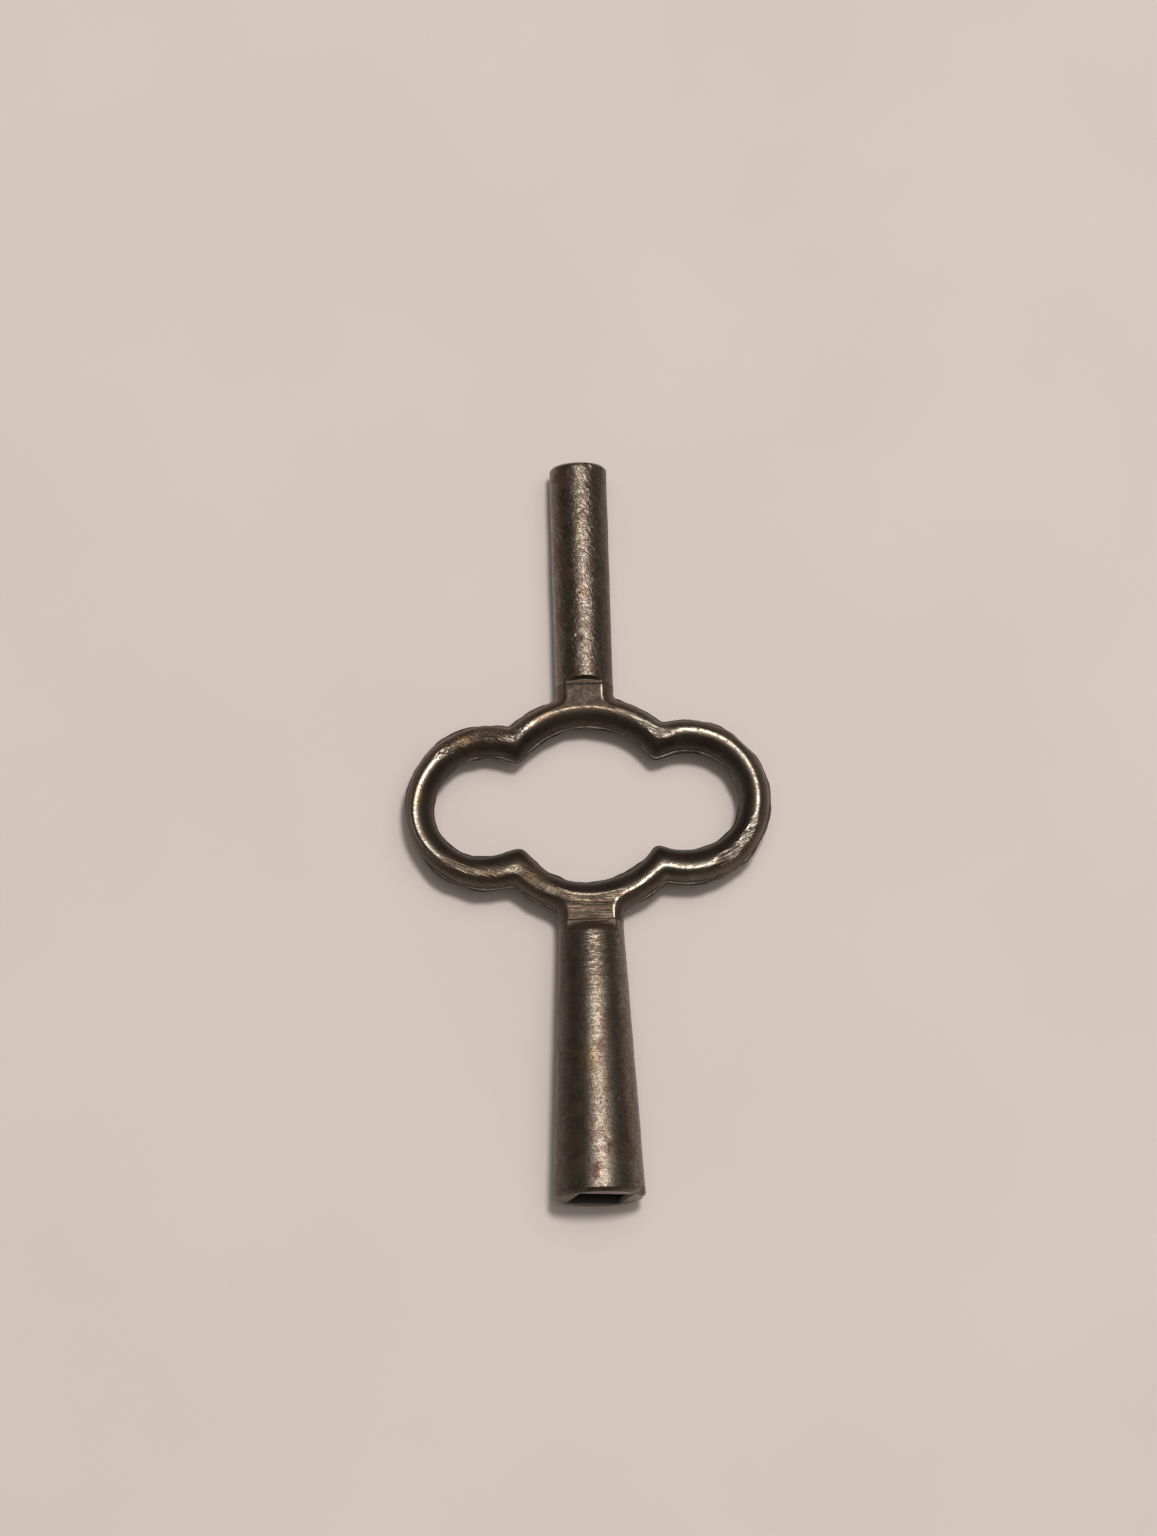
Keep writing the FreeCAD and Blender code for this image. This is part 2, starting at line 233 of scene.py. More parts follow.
# Metres between which the camera draws
CLIP_START = 0.01
CLIP_END = 20.0
FRAME_HEIGHT = 24.0
CAMERA_TILT = math.radians(13.5)
CAMERA_ROLL = -0.030256
CAMERA_TARGET = Vector((0, 40.0, 0))
TARGET_FROM_CENTRE = Vector((0.976, -4.484, -663.3))

# Light: a round lamp and a wide glow above the key, and the room
LAMP_TINT = (1.0, 0.98, 0.96)
LAMP_PLACE = (102.0, 106.0, 755.0)
LAMP_DIAMETER = 110.0
LAMP_POWER = 2.95
GLOW_TOWARDS = (0.17, 0.10, 1.0)
GLOW_POWER = 0.80
GLOW_SPREAD = math.radians(46.0)
ROOM_TINT = (1.0, 0.95, 0.90, 1.0)
ROOM_STRENGTH = 0.14

# Paper under the key: it touches the rims of both pipes
PAPER_RISE_Y = 0.0226
PAPER_Z = -4.71
PAPER_HALF_WIDTH = 2500.0

SOCKET_TYPES = {float: "Float", int: "Int", Vector: "Vector"}
OUTPUT_TYPES = {"Geometry": "Geometry", "Colour": "Color"}


class Wiring:
    """Adds nodes to one node tree and joins their inputs; shared holds the shared groups."""

    def __init__(self, tree, shared=None):
        self.tree = tree
        self.shared = shared

    def put(self, socket, value):
        if isinstance(value, Number):
            value = value.socket
        if isinstance(value, bpy.types.NodeSocket):
            self.tree.links.new(value, socket)
        else:
            socket.default_value = value

    def wrapped(self, socket):
        """The socket as a Number if it carries one."""
        return Number(self, socket) if socket.type in ("VALUE", "INT") else socket

    def node(self, kind, inputs=None, **settings):
        made = self.tree.nodes.new(kind)
        for name, value in settings.items():
            setattr(made, name, value)
        for key, value in (inputs or {}).items():
            self.put(made.inputs[key], value)
        return made

    def add(self, kind, inputs=None, **settings):
        """The first output of a new node."""
        return self.wrapped(self.node(kind, inputs, **settings).outputs[0])

    def group(self, tree, inputs):
        """The outputs of a shared node group by their names."""
        kind = "ShaderNodeGroup" if tree.bl_idname == "ShaderNodeTree" else "GeometryNodeGroup"
        made = self.node(kind, inputs, node_tree=tree)
        return {socket.name: self.wrapped(socket) for socket in made.outputs}

    def position(self):
        return self.add("GeometryNodeInputPosition")

    def math(self, operation, *values):
        return self.add("ShaderNodeMath", dict(enumerate(values)), operation=operation)

    def vector(self, operation, *values):
        made = self.node("ShaderNodeVectorMath", dict(enumerate(values)), operation=operation)
        as_number = operation in ("DOT_PRODUCT", "DISTANCE")
        return self.wrapped(made.outputs["Value" if as_number else "Vector"])

    def scaled(self, vector, factor):
        return self.add("ShaderNodeVectorMath", {0: vector, "Scale": factor}, operation="SCALE")

    def parts(self, vector):
        made = self.node("ShaderNodeSeparateXYZ", {0: vector})
        return [Number(self, socket) for socket in made.outputs]

    def joined(self, x, y, z):
        return self.add("ShaderNodeCombineXYZ", {0: x, 1: y, 2: z})

    def noise(self, vector, scale, detail=2.0, roughness=0.5, distortion=0.0, shift=None):
        """Noise about 0.5 whose features are 1 / scale long in the units of vector."""
        if shift:
            vector = self.vector("ADD", vector, shift)
        return self.add("ShaderNodeTexNoise", {
            "Vector": vector, "Scale": scale, "Detail": detail, "Roughness": roughness,
            "Distortion": distortion})

    def wobbled(self, place, fineness, reach):
        """The place moved at random by 0 to reach along each axis."""
        swirl = self.node("ShaderNodeTexNoise", {"Vector": place, "Scale": fineness}).outputs[1]
        return self.vector("ADD", place, self.scaled(swirl, reach))

    def lines(self, place, **settings):
        return self.group(self.shared["strokes"], {"Place": place, **settings})["Lines"]

    def mask(self, name):
        """What the mesh stored under this name."""
        found = self.node("ShaderNodeAttribute", attribute_name=name)
        return self.wrapped(found.outputs["Fac"])

    def colour_mix(self, share, first, second):
        made = self.node("ShaderNodeMix", {0: share, 6: first, 7: second}, data_type="RGBA")
        return made.outputs[2]


def joined_by(operation, last=False):
    """A method that joins a Number to others, as the first value or as the last."""
    def method(self, *others):
        return self.wiring.math(operation, *((*others, self) if last else (self, *others)))
    return method


class Number:
    """One number in a node tree, for writing node sums as plain arithmetic."""

    def __init__(self, wiring, socket):
        self.wiring = wiring
        self.socket = socket

    __add__ = joined_by("ADD")
    __radd__ = joined_by("ADD", last=True)
    __sub__ = joined_by("SUBTRACT")
    __rsub__ = joined_by("SUBTRACT", last=True)
    __mul__ = joined_by("MULTIPLY")
    __rmul__ = joined_by("MULTIPLY", last=True)
    __truediv__ = joined_by("DIVIDE")
    __rtruediv__ = joined_by("DIVIDE", last=True)
    __abs__ = joined_by("ABSOLUTE")
    over = joined_by("GREATER_THAN")
    under = joined_by("LESS_THAN")
    least = joined_by("MINIMUM")
    most = joined_by("MAXIMUM")
    soft_least = joined_by("SMOOTH_MIN")
    soft_most = joined_by("SMOOTH_MAX")
    power = joined_by("POWER")

    def __neg__(self):
        return self * -1.0

    def ramp(self, low, high, first=0.0, last=1.0, shape="LINEAR"):
        """first below low, last above high and even between."""
        return self.wiring.add("ShaderNodeMapRange", {
            "Value": self, "From Min": low, "From Max": high, "To Min": first, "To Max": last},
            interpolation_type=shape)

    def step(self, low, high):
        """0 below low and 1 above high, smoothly; it falls instead where low > high."""
        return self.ramp(low, high, shape="SMOOTHSTEP")


def hypot(a, b):
    return (a * a + b * b).power(0.5)


def greatest(*numbers):
    return functools.reduce(Number.most, numbers)


def chosen(first, second, share):
    """first where share is 0 and second where it is 1."""
    return first + (second - first) * share


def point(x, y, z):
    return Vector((x, y, z)) * MM


def in_metres(sizes):
    return {name: size * MM for name, size in sizes.items()}


def new_group(name, kind, inputs, outputs):
    """A node group with named sockets: returns its wiring, its inputs by name, and a function
    that joins values to its outputs. An input is given by its default value or its type, and
    outputs are numbers unless OUTPUT_TYPES says otherwise."""
    tree = bpy.data.node_groups.new(name, kind)
    for socket_name, given in inputs.items():
        is_type = isinstance(given, str)
        socket_type = given if is_type else SOCKET_TYPES[type(given)]
        socket = tree.interface.new_socket(socket_name, in_out="INPUT",
                                           socket_type="NodeSocket" + socket_type)
        if not is_type:
            socket.default_value = given
    for socket_name in outputs:
        tree.interface.new_socket(
            socket_name, in_out="OUTPUT",
            socket_type="NodeSocket" + OUTPUT_TYPES.get(socket_name, "Float"))
    wiring = Wiring(tree)
    entry = wiring.node("NodeGroupInput")

    def finish(**values):
        wiring.node("NodeGroupOutput", values)

    return wiring, {socket.name: wiring.wrapped(socket) for socket in entry.outputs}, finish


def bow_distance_group():
    """How far a point is outside the bow, how far across the bar from its crown line, and how
    far outside the bow's sides before its necks were filed flat."""
    wiring, given, finish = new_group(
        "bow distance", "GeometryNodeTree", {"Position": "Vector", **in_metres(BOW_SIZES)},
        ["Distance", "Across", "Side"])
    x, y, z = wiring.parts(given["Position"])
    y = y - given["Bow centre"]
    bar, across = bent_bar(given, x, y, z)
    at_setting = y.over(0.0)

    def of_neck(size):
        return chosen(given["Winding " + size], given["Setting " + size], at_setting)

    seam = of_neck("seam")
    spigot_end = seam + of_neck("spigot length")
    from_axis = hypot(x, z)
    beyond_side = from_axis - of_neck("neck radius")
    fall = abs(y).ramp(given["Centre crown radius"], seam)
    beyond_flat = abs(z) - (given["Half thickness"] - fall * of_neck("flat fall"))
    clear_of_loop = given["Centre crown radius"] + NECK_CLEARANCE * MM - hypot(x, y)
    neck = beyond_side.soft_most(beyond_flat, given["Edge softness"]).most(clear_of_loop)
    fillet = of_neck("fillet")
    side = bar.soft_least(beyond_side.most(clear_of_loop), fillet)
    body = bar.soft_least(neck, fillet).most(beyond_flat)
    body = body.soft_most(abs(y) - seam, SEAM_SOFTNESS * MM)
    spigot = greatest(from_axis - of_neck("spigot radius"), abs(y) - spigot_end, clear_of_loop)
    finish(Distance=body.least(spigot), Across=across, Side=side)
    return wiring.tree


def bent_bar(given, x, y, z):
    """How far a point is outside the loop's bar, and how far across it from its crown line."""
    half = given["Half thickness"]
    centre_gap = hypot(x, y) - given["Centre crown radius"]
    side_gap = hypot(abs(x) - given["Side lobe offset"], y) - given["Side crown radius"]
    blend = given["Cusp blend"] - centre_gap.least(side_gap) * CUSP_BLEND_SLOPE
    crown_shift, inner_extra = hand_shape(x, y)
    across = centre_gap.soft_least(side_gap, blend.most(LEAST_CUSP_BLEND * MM)) - crown_shift
    reach = chosen(given["Inner reach"] + crown_shift + inner_extra,
                   given["Outer reach"] - crown_shift, across.over(0.0))
    stretched = hypot(across / reach, z / half)
    steepness = hypot(across / (reach * reach), z / (half * half))
    outside = (stretched - 1.0) * (stretched + NEVER_ZERO) / (steepness + NEVER_ZERO / half)
    return outside, across


def hand_shape(x, y):
    """How far hand work moved the crown line outward and the inner wall inward at x, y."""
    shift = extra = 0.0
    for place_x, place_y, radius, moved_out, moved_in in HAND_SHAPES:
        away = hypot(x - place_x * MM, y - (place_y - BOW_CENTRE_Y) * MM)
        near = (away / (radius * MM)).step(1.0, 0.0)
        shift = shift + near * (moved_out * MM)
        extra = extra + near * (moved_in * MM)
    return shift, extra


def gouge_group(kind):
    """Depth of a dent along the line from Start to End."""
    wiring, given, finish = new_group("gouge", kind, {
        "Place": "Vector", "Start": "Vector", "End": "Vector", "Width": 0.4 * MM,
        "Depth": 0.1 * MM}, ["Depth"])
    along = wiring.vector("SUBTRACT", given["End"], given["Start"])
    from_start = wiring.vector("SUBTRACT", given["Place"], given["Start"])
    run = wiring.vector("DOT_PRODUCT", from_start, along)
    share = (run / wiring.vector("DOT_PRODUCT", along, along)).most(0.0).least(1.0)
    foot = wiring.vector("ADD", given["Start"], wiring.scaled(along, share))
    away = wiring.vector("DISTANCE", given["Place"], foot)
    finish(Depth=given["Depth"] * (away / given["Width"]).step(1.0, 0.0))
    return wiring.tree


def unevenness_group():
    """Slow and quick waves of a surface made by hand."""
    wiring, given, finish = new_group("hand unevenness", "GeometryNodeTree", {
        "Slow height": 0.05 * MM, "Quick height": 0.012 * MM, "Seed": 0.0}, ["Height"])
    place = wiring.scaled(wiring.position(), 1 / MM)
    place = wiring.vector("ADD", place, wiring.joined(given["Seed"], given["Seed"] * 3.1, 0.0))
    slow = wiring.noise(place, 0.22, detail=1.0) - 0.5
    quick = wiring.noise(place, 1.3, roughness=0.6) - 0.5
    finish(Height=slow * given["Slow height"] * 2.0 + quick * given["Quick height"] * 2.0)
    return wiring.tree


def gouged(wiring, gouge_tree, place, gouges, unit, depth_unit, shift=0.0):
    """Sum of the depths of several gouges at place, where a millimetre is one unit long."""
    total = 0.0
    shift = Vector.Fill(3, shift)
    for start, end, width, depth in gouges:
        total = total + wiring.group(gouge_tree, {
            "Place": place, "Start": (Vector(start) + shift) * unit,
            "End": (Vector(end) + shift) * unit, "Width": width * unit,
            "Depth": depth * depth_unit})["Depth"]
    return total


def moved(wiring, geometry, offset, selection=True):
    return wiring.add("GeometryNodeSetPosition", {
        "Geometry": geometry, "Selection": selection, "Offset": offset})


def moved_along_normal(wiring, geometry, amount):
    normal = wiring.add("GeometryNodeInputNormal")
    return moved(wiring, geometry, wiring.scaled(normal, amount))


def stored(wiring, geometry, name, value):
    return wiring.add("GeometryNodeStoreNamedAttribute", {
        "Geometry": geometry, "Name": name, "Value": value})


def recalled(wiring, name):
    return wiring.add("GeometryNodeInputNamedAttribute", {"Name": name})


def facing_along_key(wiring):
    return wiring.parts(wiring.add("GeometryNodeInputNormal"))[1]


def finished(wiring, geometry, material):
    """Smooth all over but for the flat end faces, which look along the key."""
    smooth = wiring.add("GeometryNodeSetShadeSmooth", {"Geometry": geometry})
    smooth = wiring.add("GeometryNodeSetShadeSmooth", {
        "Geometry": smooth, "Selection": abs(facing_along_key(wiring)).over(END_FACING),
        "Shade Smooth": False})
    real = wiring.add("GeometryNodeRealizeInstances", {"Geometry": smooth})
    return wiring.add("GeometryNodeSetMaterial", {"Geometry": real, "Material": material})


def forged_bow_tree(distance_tree, gouge_tree, uneven_tree):
    """The bow as the zero surface of its distance, then filed and dented."""
    wiring, given, finish = new_group("forged bow", "GeometryNodeTree", {
        **in_metres(BOW_SURFACE), "Low corner": point(-19.2, 23.0, -2.6),
        "High corner": point(19.2, 57.4, 2.6), "Material": "Material"}, ["Geometry"])
    position = wiring.position()

    def distance_at(place):
        return wiring.group(distance_tree, {"Position": place})

    here = distance_at(position)
    surface = zero_surface(wiring, given, here["Distance"])
    surface = snapped(wiring, surface, position, here["Distance"], distance_at)
    surface = squared_ends(wiring, surface, position)
    surface = stored(wiring, surface, "across", here["Across"] / MM)
    surface = stored(wiring, surface, "side", here["Side"] / MM)
    surface = with_parting_ridge(wiring, given, surface, position, here["Across"])
    dull = gouged(wiring, gouge_tree, position, DULL_STRETCHES, MM, 1.0)
    surface = stored(wiring, surface, "dull", dull.least(1.0))

    waves = wiring.group(uneven_tree, {
        "Slow height": 0.055 * MM, "Quick height": 0.006 * MM, "Seed": 4.0})["Height"]
    rough_bar = (waves - 0.03 * MM) * off_seams(wiring, position)
    dents = gouged(wiring, gouge_tree, position, BOW_GOUGES, MM, MM)
    surface = moved_along_normal(wiring, surface, rough_bar - dents)
    surface = with_facets(wiring, surface, position)
    finish(Geometry=finished(wiring, surface, given["Material"]))
    return wiring.tree


def zero_surface(wiring, given, distance):
    """The surface where the distance is 0, from a volume of voxels."""
    inside_level = 0.5
    spans = wiring.parts(wiring.vector("SUBTRACT", given["High corner"], given["Low corner"]))
    counts = {"Resolution " + axis: span / given["Voxel"] for axis, span in zip("XYZ", spans)}
    volume = wiring.add("GeometryNodeVolumeCube", {
        "Density": inside_level - distance, "Min": given["Low corner"],
        "Max": given["High corner"], **counts})
    return wiring.add("GeometryNodeVolumeToMesh", {"Volume": volume, "Threshold": inside_level})


def snapped(wiring, surface, position, distance, distance_at):
    """Brings the surface to where the distance is 0, down its slope, in two rounds."""
    nudge = SLOPE_NUDGE * MM
    slopes = []
    for axis in Matrix.Identity(3):
        ahead = distance_at(wiring.vector("ADD", position, axis * nudge))["Distance"]
        slopes.append((ahead - distance) / nudge)
    slope = wiring.joined(*slopes)
    steep = wiring.vector("DOT_PRODUCT", slope, slope).most(LEAST_STEEPNESS)
    snap = wiring.scaled(slope, -distance / steep)
    return moved(wiring, moved(wiring, surface, snap), snap)


def squared_ends(wiring, surface, position):
    """Brings what lies just inside the two seams out to them, for a crisp edge there."""
    y = wiring.parts(position)[1]
    half_snap = SEAM_SNAP * 0.5 * MM
    for seam, outward in ((WINDING_SEAM_Y, -1), (SETTING_SEAM_Y, 1)):
        inside = (seam * MM - y) * outward
        surface = moved(wiring, surface, wiring.joined(0.0, inside * outward, 0.0),
                        abs(inside - half_snap).under(half_snap))
    return surface


def with_parting_ridge(wiring, given, surface, position, across):
    """Raises the ridge along the bar's walls, which wanders, swells and fades on the necks."""
    y, z = wiring.parts(position)[1:]
    place = wiring.scaled(position, 1 / MM)
    facing_y = facing_along_key(wiring)
    raised = facing_y.step(-0.1, -0.6) * RIDGE_RISE * MM
    above = z - raised - (wiring.noise(place, 0.35) - 0.5) * 0.4 * MM
    surface = stored(wiring, surface, "above", above / MM)
    from_ridge = abs(MM * recalled(wiring, "above")) / given["Ridge half width"]
    fullness = wiring.noise(place, 0.3, shift=(7.0, 3.0, 0.0)).step(0.3, 0.62)
    on_wall = (abs(across).step(WALL_EDGE * MM, WALL_FACE * MM)
               * abs(y - BOW_CENTRE_Y * MM).step(RIDGE_END * MM, RIDGE_FADE * MM))
    ridge = from_ridge.step(1.0, 0.0) * given["Ridge height"] * on_wall
    ridge = ridge * (0.45 + fullness * 0.55) * (1.0 + abs(facing_y).step(0.5, 0.9) * 0.5)
    return moved_along_normal(wiring, surface, ridge)


def off_seams(wiring, position):
    """0 at the seams with the pipes, so that the necks keep their joints tight, else 1."""
    y = wiring.parts(position)[1]
    return abs(y - BOW_CENTRE_Y * MM).step(UNEVEN_END * MM, UNEVEN_FADE * MM)


def with_facets(wiring, surface, position):
    """Cuts what stands proud of each filed facet, and stores where the facets are."""
    filed = recalled(wiring, "filed")
    surface = stored(wiring, surface, "filed", 0.0)
    for place, facing, radius in BOW_FACETS:
        place = point(*place)
        facing = Vector(facing).normalized()
        proud = wiring.vector("DOT_PRODUCT", wiring.vector("SUBTRACT", position, place), facing)
        near = wiring.vector("DISTANCE", position, place).step(radius * MM, radius * 0.3 * MM)
        mask = near * proud.step(-0.10 * MM, 0.0)
        cut = proud.most(0.0) * near
        surface = stored(wiring, surface, "filed", mask.most(filed))
        surface = moved(wiring, surface, wiring.scaled(facing, -cut))
    return surface


def turned_pipe_tree(gouge_tree, uneven_tree, nicks):
    """A pipe wrapped round its axis row by row, from its brazing bore to its drill point."""
    wiring, given, finish = new_group("turned pipe", "GeometryNodeTree", {
        "Columns": 240, "Mouth position": 0.0, "Facing": 1.0, **in_metres(WINDING_PIPE),
        "Start bow": 0.0, "Length bow": 0.07, "Square turn": 0.0, "Seed": 0.0,
        "Material": "Material"}, ["Geometry"])
    outline = pipe_outline(given)
    row_count = sum(rows for *_, rows in outline) + 1
    grid = wiring.add("GeometryNodeMeshGrid", {
        "Size X": 1.0, "Size Y": 1.0, "Vertices X": given["Columns"] + 1,
        "Vertices Y": row_count})
    index = wiring.add("GeometryNodeInputIndex")
    column = wiring.math("FLOOR", (index + 0.5) / row_count)
    row = index - column * row_count
    turn = column / given["Columns"] * math.tau
    upward = wiring.math("SINE", turn)
    facing = given["Facing"]
    radius, along = outline_at(wiring, outline, row, turn - given["Square turn"])
    radius = with_ramp(given, radius, along, upward)
    place = wiring.joined(radius * wiring.math("COSINE", turn) * facing,
                          given["Mouth position"] + along * facing, radius * upward)
    surface = wiring.add("GeometryNodeSetPosition", {"Geometry": grid, "Position": place})
    surface = stored(wiring, surface, "outside", on_outside(row, outline))
    surface = wiring.add("GeometryNodeMergeByDistance",
                         {"Geometry": surface, "Distance": MERGE_DISTANCE * MM})

    waves = wiring.group(uneven_tree, {
        "Slow height": 0.045 * MM, "Quick height": 0.008 * MM, "Seed": given["Seed"]})["Height"]
    position = wiring.position()
    height = waves - 0.035 * MM - gouged(wiring, gouge_tree, position, nicks, MM, MM)
    surface = moved_along_normal(wiring, surface, height * recalled(wiring, "outside"))
    finish(Geometry=finished(wiring, surface, given["Material"]))
    return wiring.tree


def pipe_outline(given):
    """Corners of a pipe's outline from its bore over its outside to its drill point: radius,
    distance from the mouth, 1 if square, rows to the next corner."""
    length = given["Length"]
    mouth_r = given["Mouth radius"]
    back_r = given["Back radius"]
    bevel = given["Rim bevel"]
    taper = (mouth_r - back_r) / length
    rim_r = mouth_r - taper * bevel
    ramp_r = back_r + taper * given["Ramp start"]
    half_square = given["Square"] * 0.5
    wide_square = half_square + given["Mouth bevel"]
    bore_end = length - given["Bore depth"]
    soft = PIPE_SOFTNESS * MM
    tight = PIPE_SEAM_SOFTNESS * MM
    zero = length * 0.0
    return [
        (zero, bore_end, 0, 6),
        (given["Bore radius"], bore_end, 0, 30),
        (given["Bore radius"], length, 0, 12),
        (back_r - tight, length, 0, 2),
        (back_r, length - tight, 0, 20),
        (ramp_r, length - given["Ramp start"], 0, 202),
        (rim_r + soft * 0.04, bevel + soft, 0, 3),
        (rim_r - soft * 0.8, bevel - soft * 0.8, 0, 4),
        (mouth_r - bevel + soft * 0.8, soft * 0.8, 0, 3),
        (mouth_r - bevel - soft, zero, 0, 8),
        (wide_square + soft, zero, 1, 3),
        (wide_square - soft * 0.7, soft * 0.7, 1, 5),
        (half_square + soft * 0.7, given["Mouth bevel"] - soft * 0.7, 1, 3),
        (half_square, given["Mouth bevel"] + soft, 1, 34),
        (half_square, given["Square depth"], 1, 3),
        (given["Drill radius"], given["Square depth"], 0, 12),
        (given["Drill radius"], given["Drill depth"], 0, 8),
        (zero, given["Drill depth"] + given["Drill point"], 0, 0)]


def outline_at(wiring, outline, row, from_flat):
    """Radius and distance from the mouth at a row and a turn from the square's flat."""
    across_flats = abs(wiring.math("COSINE", from_flat)).most(
        abs(wiring.math("SINE", from_flat)))
    corners = [(radius / across_flats if is_square else radius, along, rows)
               for radius, along, is_square, rows in outline]
    radius, along, _ = corners[0]
    first_row = 0
    for (here_r, here, rows), (next_r, after, _) in zip(corners, corners[1:]):
        share = row.ramp(first_row, first_row + rows)
        radius = radius + (next_r - here_r) * share
        along = along + (after - here) * share
        first_row += rows
    return radius, along


def with_ramp(given, radius, along, upward):
    """The radius after a ramp was filed on both faces, from the pipe down to the neck's flat."""
    flat = given["Flat height"]
    flat_r = (flat / abs(upward).most(NEVER_ZERO)).least(radius)
    aside = (flat_r * flat_r - flat * flat).most(0.0) / (flat * flat)
    start_share = (1.0 - aside * given["Start bow"]).most(LEAST_RAMP_SHARE)
    run_share = (1.0 - aside * given["Length bow"]).most(LEAST_RAMP_SHARE)
    start = given["Length"] - given["Ramp start"] * start_share
    run = given["Ramp length"] * run_share
    fallen = ((along - start) / run).step(0.0, 1.0)
    on_back = along.over(given["Length"] - given["Ramp start"] - PIPE_SOFTNESS * MM)
    return chosen(radius, flat_r, fallen * on_back)


def on_outside(row, outline):
    """1 on the rows of the pipe's outside and mouth face, fading to 0 at the seam."""
    seam_row = sum(rows for *_, rows in outline[:SEAM_CORNER])
    face_row = sum(rows for *_, rows in outline[:FACE_CORNER])
    return row.ramp(seam_row, seam_row + 8) * row.ramp(face_row - 2, face_row, 1.0, 0.0)


def linked(name, data):
    """A new object in the scene."""
    made = bpy.data.objects.new(name, data)
    bpy.context.scene.collection.objects.link(made)
    return made


def made_by_nodes(name, tree, values):
    """A plain mesh object made by a Geometry Nodes tree with these inputs."""
    holder = linked(name, bpy.data.meshes.new(name))
    modifier = holder.modifiers.new("shape", "NODES")
    modifier.node_group = tree
    identifiers = {item.name: item.identifier for item in tree.interface.items_tree
                   if item.item_type == "SOCKET" and item.in_out == "INPUT"}
    for key, value in values.items():
        modifier[identifiers[key]] = value
    shown = holder.evaluated_get(bpy.context.evaluated_depsgraph_get())
    mesh = bpy.data.meshes.new_from_object(shown)
    mesh.name = name
    holder.modifiers.clear()
    holder.data = mesh
    return holder


def iron_group():
    """Old burnished iron: colour, roughness, metal share and height."""
    wiring, given, finish = new_group("old iron", "ShaderNodeTree", {
        "Place": "Vector", "Burnish": 0.0, "Grime": 0.0, "Straw": 0.0, "Tan": 0.0, "Red": 0.0,
        "Red patches": 0.4, "Pits": 0.5, "Grain height": 1.0, "Mottle": 0.3, "Dry": 0.0,
        "Sparkle": 0.02, "Grain fineness": 4.6, "Base roughness": 0.36},
        ["Colour", "Roughness", "Metal", "Height"])
    place = given["Place"]
    burnish_and_sheen = given["Burnish"]
    cloud = wiring.noise(place, 0.28, detail=3.0, roughness=0.6)
    fleck = wiring.noise(place, 3.2, detail=4.0, roughness=0.65, distortion=0.4)
    grain = wiring.noise(place, given["Grain fineness"], detail=4.0, roughness=0.75,
                         distortion=0.3)
    mottle = wiring.noise(place, 1.1, detail=3.0, roughness=0.6, shift=(2.0, 9.0, 6.0))
    patches = wiring.noise(place, 0.42, detail=4.0, roughness=0.65, shift=(3.0, 8.0, 1.0))
    pit_noise = wiring.noise(place, 4.6, roughness=0.55, distortion=0.5, shift=(11.0, 5.0, 2.0))
    pit_level = 0.68 - given["Pits"] * 0.12
    pits = pit_noise.step(pit_level, pit_level + 0.08)
    speck = (grain.step(0.52, 0.38) * (0.3 + given["Tan"] * 0.35)
             * (1.0 - (burnish_and_sheen * 0.8).least(1.0)))
    # The bright lift follows the first mask input, which carries real polish together with
    # painted highlights and a painted sheen
    lift = (burnish_and_sheen * fleck.step(0.72, 0.36)).least(1.0)
    reddish = (patches.step(0.56, 0.68) * given["Red patches"]).most(given["Red"]).least(1.0)
    # Pits and the second mask input darken the tone; that input carries real soiling and painted
    # shade
    dirt_and_shade = (pits * 0.6).most(given["Grime"]).least(1.0)
    tone = IRON_CLEAN
    for share, paint in (
            (cloud.step(0.36, 0.64), IRON_BROWN), (fleck.step(0.40, 0.62) * 0.35, IRON_BROWN),
            (mottle.step(0.48, 0.62) * given["Mottle"], IRON_SOOT_AND_SHADE), (speck, IRON_SOOT_AND_SHADE),
            (lift, IRON_BRIGHT), (given["Tan"] * grain.step(0.25, 0.6), IRON_TAN),
            (given["Straw"] * grain.step(0.35, 0.6), IRON_STRAW), (reddish, IRON_RED),
            (dirt_and_shade, IRON_SOOT_AND_SHADE)):
        tone = wiring.colour_mix(share, tone, paint)
    shine = grain.step(0.42, 0.56) * given["Sparkle"]
    rough = (given["Base roughness"] + fleck.step(0.4, 0.65) * 0.08 + reddish * 0.15
             + dirt_and_shade * 0.15 - burnish_and_sheen * 0.07 - shine + given["Tan"] * 0.03 + given["Dry"] * 0.3)
    metal = 1.0 - reddish * 0.4 - given["Grime"] * 0.3 - given["Dry"] * 0.65
    height = fleck * 0.22 + grain * given["Grain height"] - pits * 0.35
    finish(Colour=tone, Roughness=rough, Metal=metal, Height=height)
    return wiring.tree


def strokes_group():
    """Fine lines in one direction, as a file or a scratch leaves them."""
    wiring, given, finish = new_group("file strokes", "ShaderNodeTree", {
        "Place": "Vector", "Turn": 0.0, "Fineness": 6.0, "Length": 0.12, "Bend": 0.0}, ["Lines"])
    turned = wiring.add("ShaderNodeVectorRotate", {
        "Vector": given["Place"], "Axis": (0.0, 0.0, 1.0), "Angle": given["Turn"]},
        rotation_type="AXIS_ANGLE")
    x, y, z = wiring.parts(turned)
    bent = wiring.joined(x * given["Length"], y + x * x * given["Bend"], z * given["Length"])
    lines = wiring.noise(bent, given["Fineness"], roughness=0.7)
    finish(Lines=lines.step(0.38, 0.62))
    return wiring.tree


